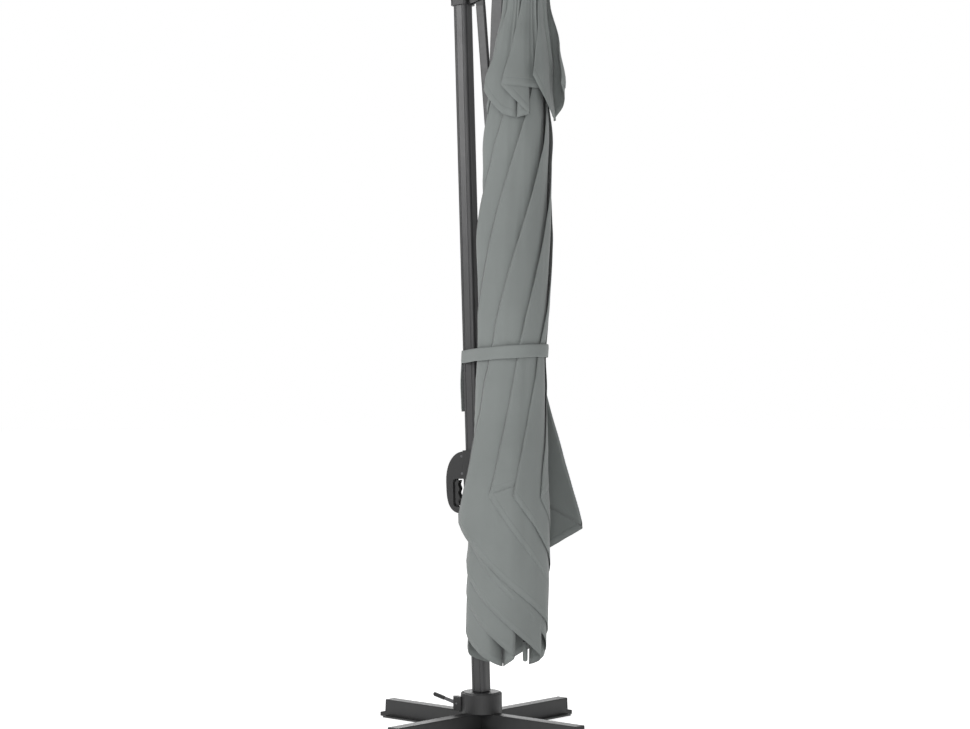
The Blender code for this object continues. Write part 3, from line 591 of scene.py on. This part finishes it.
def vent_fold_end(index):
    return 0.450 + 0.05 * noise.noise(Vector((index * 5.1, 2.0, 0.0)))


VENT_TIER = {
    "wind": vent_wind, "inside": VENT_IN, "outside": VENT_OUT, "swell": vent_swell, "flare": no_change,
    "edge_shift": vent_shift, "fold_end": vent_fold_end, "corner_length": 0.56, "side_length": 0.47,
    "wrinkle": 0.003, "folds": 2, "gather": 0.40, "smooth_from": (0.28, 0.50), "ribs": VENT_RIBS,
    "pleat": 0.013, "tip_shape": 1.0,
}


def make_canopy(cloth):
    canopy = tier_cloth("canopy_cloth", MAIN_TIER, *MAIN_GRID, cloth)
    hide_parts("canopy_cover")
    vent = tier_cloth("vent_cloth", VENT_TIER, *VENT_GRID, cloth)
    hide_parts("vent_cover")


# ---- tie band ---------------------------------------------------------------------------------------
STRAP_HEIGHT = 0.038
STRAP_STEPS = 200             # round the band
STRAP_ROWS = 10               # up the band
STRAP_SLOPE = 0.10            # how much it climbs towards the canopy
BAND_THICKNESS = 0.0016
ROUNDING_PASSES = 3
TAIL_LENGTH = 0.165
TAIL_WIDTH = 0.022
TAIL_GRID = (36, 4)           # steps down the tail and across it


def hull(points):
    """The convex outline round flat points, anticlockwise."""
    ordered = sorted(points, key=lambda point: (point.x, point.y))
    outline = []
    for sequence in (ordered, ordered[::-1]):
        side = []
        for point in sequence:
            while len(side) > 1 and (side[-1] - side[-2]).cross(point - side[-1]) <= 0:
                side.pop()
            side.append(point)
        outline += side[:-1]
    return outline


def even_steps(outline, count):
    """A closed outline read at equal steps of its length and rounded a little, and that length."""
    ends = outline[1:] + outline[:1]
    lengths = [(b - a).length for a, b in zip(outline, ends)]
    total = sum(lengths)
    points = []
    for step in range(count):
        left = total * step / count
        for a, b, length in zip(outline, ends, lengths):
            if left <= length:
                points.append(a.lerp(b, left / length))
                break
            left -= length
    for _ in range(ROUNDING_PASSES):
        points = [(points[i - 1] + points[i] * 2 + points[(i + 1) % count]) / 4 for i in range(count)]
    return points, total


def make_strap(cloth):
    """The band round canopy and mast, sloping up to the canopy, with its loose tail beside the mast."""
    into_canopy = CANOPY.inverted()
    points = [into_canopy @ vertex.co for vertex in frame["nodes"]["tie_strap"].data.vertices]
    level = sum(point.z for point in points) / len(points)
    middle = sum(point.x for point in points) / len(points)
    outline, total = even_steps(hull([Vector((point.x, point.y)) for point in points]), STRAP_STEPS)
    shape = bmesh.new()
    layer = shape.loops.layers.uv.new("UVMap")
    grid = []
    for i, spot in enumerate(outline):
        along = total * i / STRAP_STEPS
        line = []
        for j in range(STRAP_ROWS + 1):
            share = j / STRAP_ROWS
            ripple = noise.noise(Vector((along * 14.0, share * 2.0, 4.0)))
            push = 0.0006 * ripple - 0.0010 * (2 * share - 1) ** 6
            out = Vector((spot.x - middle, spot.y)).normalized() * push
            lift = level + STRAP_SLOPE * (spot.x - middle) + (share - 0.5) * STRAP_HEIGHT + 0.0012 * ripple
            line.append(shape.verts.new(CANOPY @ Vector((spot.x + out.x, spot.y + out.y, lift))))
        grid.append(line)
    for i in range(STRAP_STEPS):
        for j in range(STRAP_ROWS):
            add_quad(shape, layer, grid, i, j, total / STRAP_STEPS, STRAP_HEIGHT / STRAP_ROWS)
    add_tail(shape, layer, outline, level)
    band = finished_piece("tie_band", shape, cloth)
    thicken(band, BAND_THICKNESS)
    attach(band, "canopy")
    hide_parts("tie_strap")
    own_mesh(band)


def add_quad(shape, layer, grid, i, j, step_u, step_v):
    """One face of a band's grid. The last column joins the first one when the band is closed."""
    after = (i + 1) % len(grid)
    corners = ((i, i, j), (after, i + 1, j), (after, i + 1, j + 1), (i, i, j + 1))
    face = shape.faces.new([grid[a][c] for a, _, c in corners])
    face.smooth = True
    for loop, (_, b, c) in zip(face.loops, corners):
        loop[layer].uv = (b * step_u, c * step_v)


def add_tail(shape, layer, outline, level):
    """The free end of the band hangs down beside the mast, turned a little and narrower at its end."""
    corner = min(outline, key=lambda point: point.x + point.y * 0.35)
    steps, across = TAIL_GRID
    grid = []
    for i in range(steps + 1):
        share = i / steps
        down = TAIL_LENGTH * share + 0.004
        swing = 0.0015 + 0.004 * math.sin(share * 5.0) * share
        line = []
        for j in range(across + 1):
            side = (j / across - 0.5) * TAIL_WIDTH * (1.0 - 0.25 * ease(share, 0.93, 1.0))
            place = Vector((corner.x - swing - 0.08 * side, corner.y + 0.012 + side, level - 0.012 - down))
            line.append(shape.verts.new(CANOPY @ place))
        grid.append(line)
    for i in range(steps):
        for j in range(across):
            add_quad(shape, layer, grid, i, j, TAIL_LENGTH / steps, TAIL_WIDTH / across)


# ---- stretchers and rib pockets -----------------------------------------------------------------------
STRETCHER_TOP = 0.730         # below the hub pivot
STRETCHER_LOW = 1.2245
STRETCHER_RADIUS = 0.0241
STRETCHER_BODY = (0.0018, 0.0034)    # half depth and half width
STRETCHER_END = (0.0010, 0.0020)
POCKET_TIP = 2.260
POCKET_LENGTH = 0.055
BAR_CORNERS = 12


def bar(name, stations, turn, material):
    """A bar along the pole through (radius, drop, half depth, half width), turned round the canopy axis."""
    shape = bmesh.new()
    spin = Matrix.Rotation(math.radians(turn), 4, "Z")
    rings = []
    for radius, drop, deep, wide in stations:
        ring = []
        for corner in range(BAR_CORNERS):
            angle = 2 * math.pi * (corner + 0.5) / BAR_CORNERS
            x = radius + deep * math.copysign(abs(math.cos(angle)) ** 0.45, math.cos(angle))
            y = wide * math.copysign(abs(math.sin(angle)) ** 0.45, math.sin(angle))
            ring.append(shape.verts.new(CANOPY @ spin @ Vector((x, y, -drop))))
        rings.append(ring)
    for low, high in zip(rings, rings[1:]):
        for i in range(BAR_CORNERS):
            after = (i + 1) % BAR_CORNERS
            shape.faces.new((low[i], low[after], high[after], high[i]))
    shape.faces.new(rings[0][::-1])
    shape.faces.new(rings[-1])
    bmesh.ops.recalc_face_normals(shape, faces=shape.faces)
    made = finished_piece(name, shape, material)
    made.data.shade_smooth()
    made.data.set_sharp_from_angle(angle=math.radians(40))
    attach(made, "canopy")
    return made


def make_stretchers(coat):
    """Eight folded stretchers lie between the pole and the ribs, from the runner upwards."""
    for index in range(8):
        turn = RIB_FIRST + RIB_STEP * index
        stations = [(STRETCHER_RADIUS, STRETCHER_TOP - 0.002, *STRETCHER_END)]
        for step in (0.002, 0.20, 0.40):
            stations.append((STRETCHER_RADIUS, STRETCHER_TOP + step, *STRETCHER_BODY))
        stations.append((STRETCHER_RADIUS, STRETCHER_LOW - 0.001, *STRETCHER_BODY))
        stations.append((STRETCHER_RADIUS, STRETCHER_LOW, *STRETCHER_END))
        bar(f"stretcher_{index + 1}", stations, turn, coat)


def make_pockets(cloth):
    """A sewn pocket holds each corner of the canopy on the tip of its long rib."""
    stations = [
        (0.0568, POCKET_TIP + 0.0035, 0.0030, 0.0060),
        (0.0566, POCKET_TIP + 0.0012, 0.0060, 0.0105),
        (0.0560, POCKET_TIP - 0.010, 0.0066, 0.0130),
        (0.0550, POCKET_TIP - POCKET_LENGTH, 0.0066, 0.0130),
    ]
    for index in range(0, 8, 2):
        turn = RIB_FIRST + RIB_STEP * index
        pocket = bar(f"rib_pocket_{index // 2 + 1}", stations, turn, cloth)
        pocket.data.uv_layers.new(name="UVMap")


def main():
    make_camera()
    make_studio()
    finish_frame()
    cloth = cloth_material("canopy_cloth", CANOPY_HEM)
    make_canopy(cloth)
    make_strap(cloth_material("strap_cloth", STRAP_HEM))
    make_stretchers(frame["nodes"]["centre_pole"].data.materials[0])
    make_pockets(cloth)


main()
